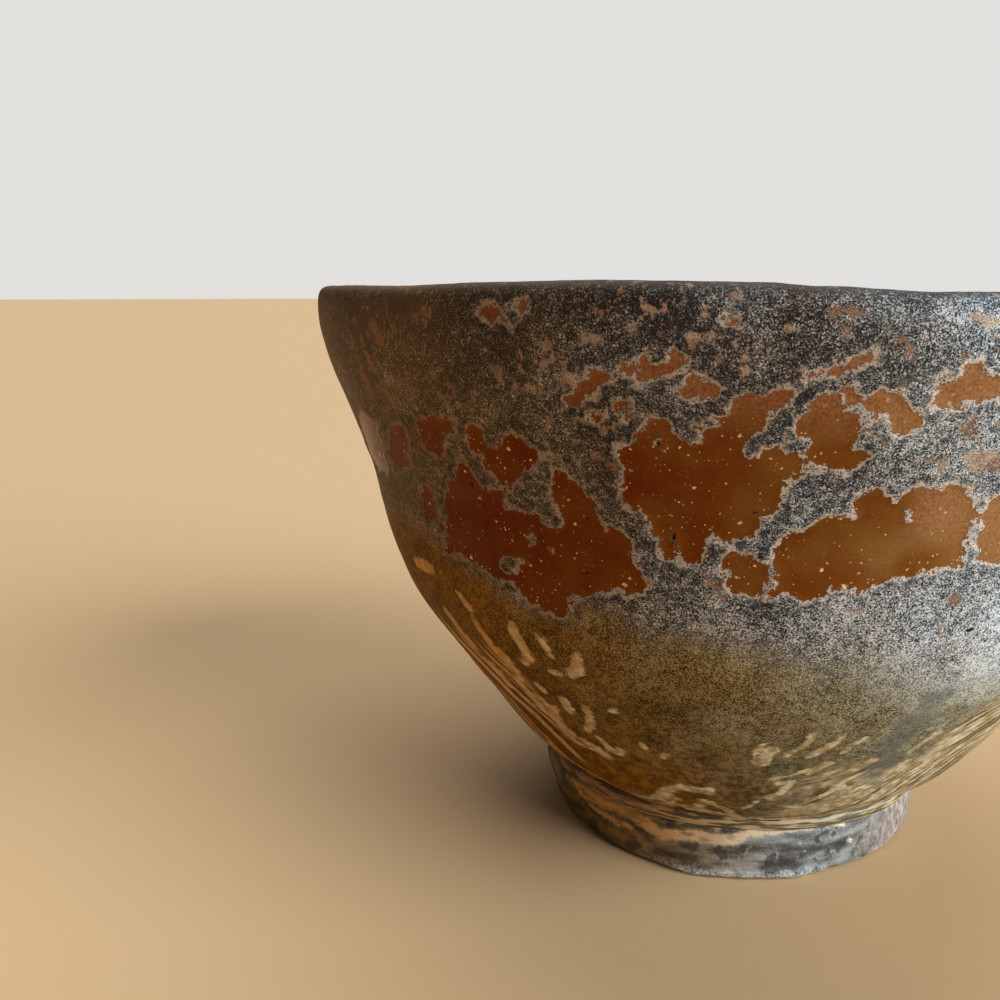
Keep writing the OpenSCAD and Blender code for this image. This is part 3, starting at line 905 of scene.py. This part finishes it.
def slip_threads(m):
    """Threads of slip drawn out along the wiping lines: fine hairs at the right, bands at the left.

    The second result is the hairs by themselves."""
    drawn = m.shifted(m.field("wipe", "Vector"), 4.0, 2.0, 2.0)
    threads = m.noise(1.3, 3.0, 0.6, m.stretched(drawn, 0.4, 1.0))
    dabs = m.noise(3.2, 2.0, 0.5, m.stretched(drawn, 0.5, 1.0))
    threads = m.step(0.47, 0.6, m.sum(threads, m.spread(dabs, 0.16), m.spread(m.streaks, 0.05)))
    hairs = m.noise(0.9, 3.0, 0.65, m.stretched(drawn, 0.7, 1.0))
    locks = m.noise(4.0, 2.0, 0.5, m.stretched(drawn, 0.6, 1.0))
    hairs = m.step(0.4, 0.55, m.sum(hairs, m.spread(locks, 0.2)))
    bands = m.step(0.5, 0.56, m.noise(4.4, 3.0, 0.6, m.stretched(drawn, 0.35, 1.0)))
    left = m.mix(m.step(0.4, 0.66, m.warmth), threads, bands)
    return m.mix(m.step(0.72, 0.88, m.paleness), left, hairs), hairs


def slip_layer(m, colour):
    """The slip over the thin glaze, with a painted shadow beside its strokes: the new colour, and where the
    slip stands proud.
    """
    slip = slip_colour(m)
    # A dark olive: the glaze's own colour in the gaps between the slip threads, and the colour of the painted
    # shadow beside the strokes.
    dark_glaze_and_shadow = m.mix(m.warmth, (92, 82, 52), (92, 58, 2))
    thread, hairs = slip_threads(m)
    colour = m.mix(m.product(m.streaks, 0.75), colour, dark_glaze_and_shadow)
    colour = m.mix(m.product(thread, m.step(0.1, 0.6, m.streaks)), colour, slip)
    drift = m.sum(m.field("stroke"), m.product(m.teeth, 0.45), m.spread(hairs, 0.16))
    # A painted shadow: the glaze darkened just outside the raised slip strokes.
    shadow_beside = m.product(m.step(-1.5, -0.3, drift), m.step(0.4, 0.6, m.noise(1.2, 3.0, 0.6)), m.bared)
    colour = m.mix(m.product(shadow_beside, 0.4), colour, dark_glaze_and_shadow)
    worn = m.step(0.2, 0.5, m.noise(0.8, 3.0, 0.6), 0.65, 0.97)
    mark = m.product(m.step(-0.25, 0.3, drift), m.bared, worn)
    return m.mix(mark, colour, slip), m.math("MAXIMUM", mark, m.product(thread, m.streaks))


def rust_layer(m, colour):
    """Rusty flecks high in the crust, chalky at the right."""
    chalky = m.product(m.paleness, m.step(0.4, 0.6, m.noise(4.0)))
    rust = m.around(m.warmth, chalky, (154, 116, 92), (226, 208, 184), (150, 102, 64))
    scatter = m.sum(m.noise(1.5, 3.0, 0.6), m.spread(m.noise(8.0), 0.16))
    loose = m.product(m.step(0.58, 0.68, scatter), m.step(56, 64, m.height))
    drawn = m.step(-0.15, 0.35, m.sum(m.field("fleck"), m.product(m.teeth, 0.8)))
    freckle = m.product(m.math("MAXIMUM", drawn, loose), m.step(0.3, 0.55, m.noise(0.22), 0.3, 0.9))
    return m.mix(freckle, colour, rust)


def ash_layer(m, colour):
    """Blue-grey ash that settled on the thin glaze."""
    ash = m.mix(m.noise(0.3, 3.0, 0.65), (62, 66, 66), (142, 148, 146))
    veil = m.step(-0.4, 1.2, m.sum(m.field("ash"), m.spread(m.noise(0.7, 3.0, 0.6), 0.6)))
    return m.mix(m.product(veil, 0.6), colour, ash)


def window_layer(m, colour):
    """Torn windows with a pale rim, the crust darker behind it: the new colour, and where the amber is."""
    fine = m.spread(m.noise(0.22, 1.0, 0.5), 0.22)
    edge = m.sum(m.field("window"), m.teeth, fine)
    tips = m.product(m.step(-1.9, -0.7, edge), m.step(0.46, 0.6, m.noise(1.1)))
    colour = m.mix(m.product(tips, 0.6), colour, m.mix(m.paleness, (20, 15, 12), (54, 58, 64)))
    amber = m.step(-0.03, 0.1, edge)
    breadth = m.sum(edge, m.spread(m.noise(1.8, 3.0), 0.75))
    rim = m.product(m.step(-0.8, -0.05, breadth), m.inverse(amber), m.step(-0.9, -0.3, edge))
    rim = m.product(rim, m.step(0.32, 0.5, m.noise(0.2, 1.5)))
    crystals = m.around(m.warmth, m.paleness, (176, 146, 124), (244, 232, 222), (140, 106, 72))
    colour = m.mix(m.product(rim, 0.92), colour, crystals)
    return m.mix(amber, colour, amber_colour(m, edge)), amber


def outer_glaze():
    """Iron glaze over slip: a dry crust torn open over amber, olive where thin, streaked at the foot."""
    m = OuterGlaze()
    crust, crystal = crust_colour(m)
    fade = m.step(0.1, 0.9, m.sum(m.bared, m.spread(m.noise(0.5, 3.0, 0.65), 0.5)))
    colour, proud = slip_layer(m, m.mix(fade, crust, thin_colour(m)))
    colour = ash_layer(m, rust_layer(m, colour))
    colour, amber = window_layer(m, colour)
    pit = m.step(-0.08, 0.08, m.sum(m.field("pit"), m.spread(m.noise(0.3), 0.2)))
    colour = m.mix(pit, colour, (14, 10, 8))
    grain = m.product(crystal, m.inverse(amber), 0.07)
    pores = m.product(m.noise(0.16, 1.0), m.inverse(m.product(amber, 0.85)), 0.06)
    wave = m.product(m.noise(1.3), amber, 0.03)
    relief = m.sum(grain, m.product(proud, 0.05), pores, wave, m.product(amber, -0.04), m.product(pit, -0.2))
    matte, glassy = 0.5, 0.24
    rough = m.math("MULTIPLY_ADD", amber, glassy - matte, matte)
    return m.finish(colour, rough, relief, **{"Specular IOR Level": 0.04})


def inner_glaze():
    """Glassy dark amber lining, with the crust running over the lip into it and a pool in the well."""
    m = Nodes("inner_glaze")
    depth = m.field("depth")
    mottle = m.noise(3.5, 4.0, 0.6)
    fine = m.noise(0.5, 3.0, 0.6)
    deep = m.mix(m.step(0.35, 0.68, m.sum(mottle, m.spread(fine, 0.1))), (58, 26, 8), (104, 58, 20))
    hare = m.noise(1.1, 3.0, 0.6, m.stretched(m.here, 1.0, 0.12))
    ragged = m.sum(depth, m.spread(m.noise(2.8, 4.0, 0.6), 7.0))
    runs = m.product(m.inverse(m.step(8, 34, ragged)), m.step(0.45, 0.6, hare))
    colour = m.mix(m.product(runs, 0.8), deep, (112, 96, 74))
    grain = m.step(0.42, 0.64, m.noise(0.36, 2.5, 0.62))
    crust = m.mix(grain, (40, 37, 36), (122, 116, 108))
    top = m.inverse(m.step(4.5, 9.5, ragged))
    colour = m.mix(top, colour, crust)
    pool = m.step(58.5, 60.5, m.sum(depth, m.spread(mottle, 1.2)))
    colour = m.mix(m.product(pool, 0.7), colour, (30, 18, 10))
    white = m.specks(1.6, 0.2, 0.14)
    colour = m.mix(m.product(white, m.inverse(top)), colour, (206, 172, 132))
    glassy, matte = 0.26, 0.5
    rough = m.math("MULTIPLY_ADD", top, matte - glassy, glassy)
    relief = m.sum(m.product(m.noise(1.8), 0.04), m.product(grain, top, 0.035))
    return m.finish(colour, rough, relief)


def foot_glaze():
    """Grey-brown fired clay under a wiped glaze: dark at the left, torn and sandy at the right."""
    m = Nodes("foot_clay")
    across = m.field("across")
    along = m.stretched(m.here, 0.25, 1.0)
    grit = m.noise(0.28, 3.0, 0.65)
    patch = m.noise(2.6, 4.0, 0.6)
    right, torn = m.step(-20, 6, across), m.step(10, 20, across)
    dark = m.mix(right, (64, 46, 6), (66, 66, 64))
    pale = m.mix(right, (150, 108, 38), (160, 166, 166))
    wiped = m.sum(m.noise(1.6, 4.0, 0.55, along), m.spread(grit, 0.12))
    colour = m.mix(m.step(0.34, 0.68, wiped), dark, pale)
    scratch = m.noise(0.55, 4.0, 0.7, m.stretched(m.here, 1.0, 0.45))
    colour = m.mix(torn, colour, m.mix(m.step(0.32, 0.68, scratch), (104, 96, 92), (198, 188, 182)))
    colour = m.mix(m.product(m.step(0.53, 0.62, patch), m.inverse(torn), 0.75), colour, (34, 34, 34))
    glints = m.product(m.step(0.58, 0.68, m.noise(1.0, 4.0, 0.6)), right, m.inverse(torn))
    colour = m.mix(m.product(glints, 0.6), colour, (176, 186, 190))
    teeth = m.spread(m.noise(0.8, 3.0, 0.6), 0.6)
    cream = m.mix(right, (200, 142, 72), (230, 216, 188))
    broken = m.step(0.38, 0.5, m.noise(0.8, 3.0, 0.6, along), 0.4, 1.0)
    stroke = m.step(-0.25, 0.3, m.sum(m.field("stroke"), teeth))
    colour = m.mix(m.product(stroke, broken), colour, cream)
    height = m.add("SeparateXYZ", {0: m.here}, 2)
    edge = m.inverse(m.step(0.6, 1.6, m.sum(height, teeth)))
    worn = m.product(edge, m.field("front"), m.step(0.4, 0.55, grit))
    colour = m.mix(m.product(worn, 0.85), colour, (206, 208, 214))
    relief = m.sum(m.product(grit, 0.08), m.product(patch, 0.14), m.product(scratch, torn, 0.3))
    return m.finish(colour, m.math("MULTIPLY_ADD", patch, 0.3, 0.35), relief)


def stoneware():
    """Bare fired clay with sand in it and the rings of the turning tool."""
    m = Nodes("stoneware")
    grit = m.noise(0.35, 3.0, 0.65)
    patch = m.noise(7.0, 4.0, 0.55)
    colour = m.mix(m.step(0.35, 0.65, m.sum(patch, m.spread(grit, 0.2))), (92, 70, 54), (140, 112, 88))
    sand = m.specks(1.1, 0.22, 0.3)
    colour = m.mix(sand, colour, (52, 40, 34))
    return m.finish(colour, 0.75, m.sum(m.product(grit, 0.07), m.product(sand, 0.05)))


def luting_clay():
    """Slip squeezed out of the joint between bowl and foot ring, glazed over."""
    m = Nodes("luting_slip")
    thread = m.noise(0.4, 3.0, 0.6, m.stretched(m.here, 0.09, 1.0))
    right = m.step(-24, 6, m.add("SeparateXYZ", {0: m.here}))
    cream = m.mix(right, (172, 120, 62), (204, 184, 144))
    dark = m.mix(right, (84, 56, 20), (88, 82, 60))
    colour = m.mix(m.step(0.44, 0.58, thread), dark, cream)
    return m.finish(colour, 0.5, m.product(m.noise(0.3, 3.0), 0.05))


# ---- The pieces ----


def glazes():
    outside = outer_glaze()
    # name, CAD nodes, slot, first and last place along the profile, spacing of its rows
    outer_coats = [
        ("upper_glaze", ["crust_glaze", "amber_glaze"], "crust_glaze", SEAM, LIP_START, ROW),
        ("lower_glaze", ["slip_coat"], "pale_slip", 0, SEAM, ROW),
        ("lip_roll", ["lip_glaze"], "lip_glaze", LIP_START, LIP_END, LIP_ROW),
    ]
    for name, nodes, slot, start, end, row in outer_coats:
        coat(name, nodes, outside, start, end, COLUMNS, row, outer_relief, outer_fields)
    coat("lining", ["inner_glaze"], inner_glaze(), LIP_END, POLE, LINING_COLUMNS, LINING_ROW,
         lining_relief, lining_fields)


def clay():
    """The wall of the bowl under its glazes, and the turned underside inside the foot."""
    wall = Place(*grid(CLAY_COLUMNS, 0, POLE, CLAY_ROWS)).raised(-COAT)[1:-1]
    button_height, button_radius = 1.4, 6
    turn_marks, marks_turn = 0.16, 2.1      # height in mm, and radians per mm
    underside_radius = 26
    radii = np.linspace(0, underside_radius, 60)
    button = button_height * np.clip(1 - (radii / button_radius) ** 2, 0, 1)
    hollow = FOOT_TOP + 0.5 * smooth_step(0, 20, radii) - button
    hollow = hollow + turn_marks * np.sin(radii * marks_turn)

    def sandy(points):
        points = points.copy()
        points[..., 2] += 0.08 * noise(points, 1.5, 80)
        return points

    underside = turned(np.stack([radii, np.minimum(hollow, NECK_Z - 0.2)], -1), CLAY_COLUMNS, sandy)
    underside[0] = (0, 0, FOOT_TOP - 1.4)
    rings = list(wall) + list(underside)
    faces, kept = solid(rings)
    points = np.concatenate([wall.reshape(-1, 3), underside.reshape(-1, 3)])[kept]
    make_piece("clay_body", ["clay_wall"], stoneware(), points, faces)


def azimuth_of(points):
    return np.degrees(np.arctan2(points[..., 0], -points[..., 1]))


def foot_fields(points):
    azimuth = azimuth_of(points)
    level = points[:, 2] + 0.5 * noise(points, 2.5, 97)
    scale = np.full(len(points), np.radians(FOOT_R))
    strokes = [(np.array(line, float), half_width) for line, half_width in FOOT_STROKES]
    return {
        "across": points[:, 0],
        "front": smooth_step(-40, -22, azimuth) * (1 - smooth_step(12, 20, azimuth)),
        "stroke": stroke_depth(azimuth, level, scale, strokes),
    }


def foot():
    """The foot ring: pinched out of round, its standing edge worn, a torn ledge at the front."""
    inner = FOOT_R - 6
    outline = [(inner + 0.2, FOOT_TOP), (inner, 5.5), (inner, 2.5), (inner + 0.3, 0.9), (inner + 1.1, 0.1),
               (inner + 1.8, 0), (FOOT_R - 1.6, 0), (FOOT_R - 0.6, 0.1), (FOOT_R - 0.15, 0.5),
               (FOOT_R, 1.3), (FOOT_R, 3), (FOOT_R, 5), (FOOT_R - 0.2, 6.2), (FOOT_R - 0.3, FOOT_TOP)]
    even = softened(resampled(outline + outline[:1], 0.35), 2)[:-1]

    def pinched(points):
        azimuth, z = azimuth_of(points), points[..., 2]
        radius = np.linalg.norm(points[..., :2], axis=-1, keepdims=True)
        outer = smooth_step(inner + 1, FOOT_R - 1, radius[..., 0])
        low = 1 - smooth_step(0.5, FOOT_TOP - 0.5, z)
        push = round_curve(azimuth, FOOT_EDGE) * low + round_curve(azimuth, FOOT_SHOULDER) * (1 - low)
        ledge = smooth_step(-32, -24, azimuth) * (1 - smooth_step(14, 19, azimuth))
        ledge = ledge * (1 - smooth_step(0.9, 1.7, z))
        torn = smooth_step(14, 30, azimuth) * (z > 0.2)
        rough = 0.15 * noise(points, 5, 90) + 0.12 * noise(points, 1.3, 91) * (0.3 + torn + 1.5 * ledge)
        bent = points.copy()
        bent[..., :2] += points[..., :2] / radius * ((push + 0.5 * ledge) * outer + rough)[..., None]
        return bent

    turned_piece("foot", "foot_ring", foot_glaze(), even[::-1], pinched, foot_fields)


def bead():
    """The roll of slip in the joint above the foot ring."""
    radius, middle = FOOT_R - 0.6, FOOT_TOP + 0.7
    half_width, half_height = 0.75, 0.95
    outline = [(radius + half_width * math.cos(t), middle + half_height * math.sin(t))
               for t in np.linspace(0, 2 * math.pi, 24, endpoint=False)]

    def uneven(points):
        points = points.copy()
        full = round_curve(azimuth_of(points), BEAD_FULLNESS)
        points[..., 2] += 0.35 * full * (points[..., 2] - middle) + 0.12 * noise(points, 4, 95)
        spread = 0.9 * full / radius + 0.004 * noise(points, 2.2, 96)
        points[..., :2] *= 1 + spread[..., None]
        return points

    turned_piece("joint_bead", "luting_slip", luting_clay(), outline, uneven)


# ---- The stage ----


def camera():
    """A short lens close to the bowl, looking level across it and a little down."""
    place, look_down = (-0.0359, -0.1475, 0.0764), 11.82
    lens = bpy.data.cameras.new("camera")
    lens.sensor_width = 36
    lens.lens = 36.36
    lens.clip_start = 0.01
    eye = linked("camera", lens)
    eye.location = place
    eye.rotation_euler = (math.radians(90 - look_down), 0, 0)
    bpy.context.scene.camera = eye


def floor():
    radius, sides = 8.0, 180
    turns = [2 * math.pi * i / sides for i in range(sides)]
    mesh = bpy.data.meshes.new("floor")
    rim = [(radius * math.cos(t), radius * math.sin(t), 0) for t in turns]
    mesh.from_pydata(rim, [], [tuple(range(sides))])
    paint = bpy.data.materials.new("floor")
    paint.use_nodes = True
    shader = paint.node_tree.nodes["Principled BSDF"]
    shader.inputs["Base Color"].default_value = (*linear((208, 176, 132)), 1)
    shader.inputs["Roughness"].default_value = 0.7
    mesh.materials.append(paint)
    linked("floor", mesh)


def soft_sun(name, azimuth, elevation, strength, size, colour):
    """Even light from one side of the sky, as from a large window; size is its width in degrees."""
    lamp = bpy.data.lights.new(name, "SUN")
    lamp.energy = strength
    lamp.angle = math.radians(size)
    lamp.color = colour
    light = linked(name, lamp)
    a, e = math.radians(azimuth), math.radians(elevation)
    towards = Vector((math.sin(a) * math.cos(e), -math.cos(a) * math.cos(e), math.sin(e)))
    light.rotation_euler = towards.to_track_quat("Z", "Y").to_euler()
    light.location = towards


def lights():
    """A large window at the right, a soft light overhead, and a plain pale room."""
    soft_sun("key", 56, 26, 3.9, 45, (0.93, 0.97, 1))
    soft_sun("overhead", 170, 66, 1.8, 60, (1, 0.97, 0.92))
    sky_on_bowl, sky_in_view = 0.14, 0.95
    world = bpy.data.worlds.new("studio")
    world.use_nodes = True
    nodes = world.node_tree.nodes
    background = nodes["Background"]
    background.inputs["Color"].default_value = (0.8, 0.79, 0.77, 1)
    seen = nodes.new("ShaderNodeLightPath")
    strength = nodes.new("ShaderNodeMapRange")
    strength.inputs["To Min"].default_value = sky_on_bowl
    strength.inputs["To Max"].default_value = sky_in_view
    world.node_tree.links.new(seen.outputs["Is Camera Ray"], strength.inputs["Value"])
    world.node_tree.links.new(strength.outputs["Result"], background.inputs["Strength"])
    bpy.context.scene.world = world
    bpy.context.scene.view_settings.view_transform = "Standard"


camera()
floor()
lights()
clay()
glazes()
foot()
bead()
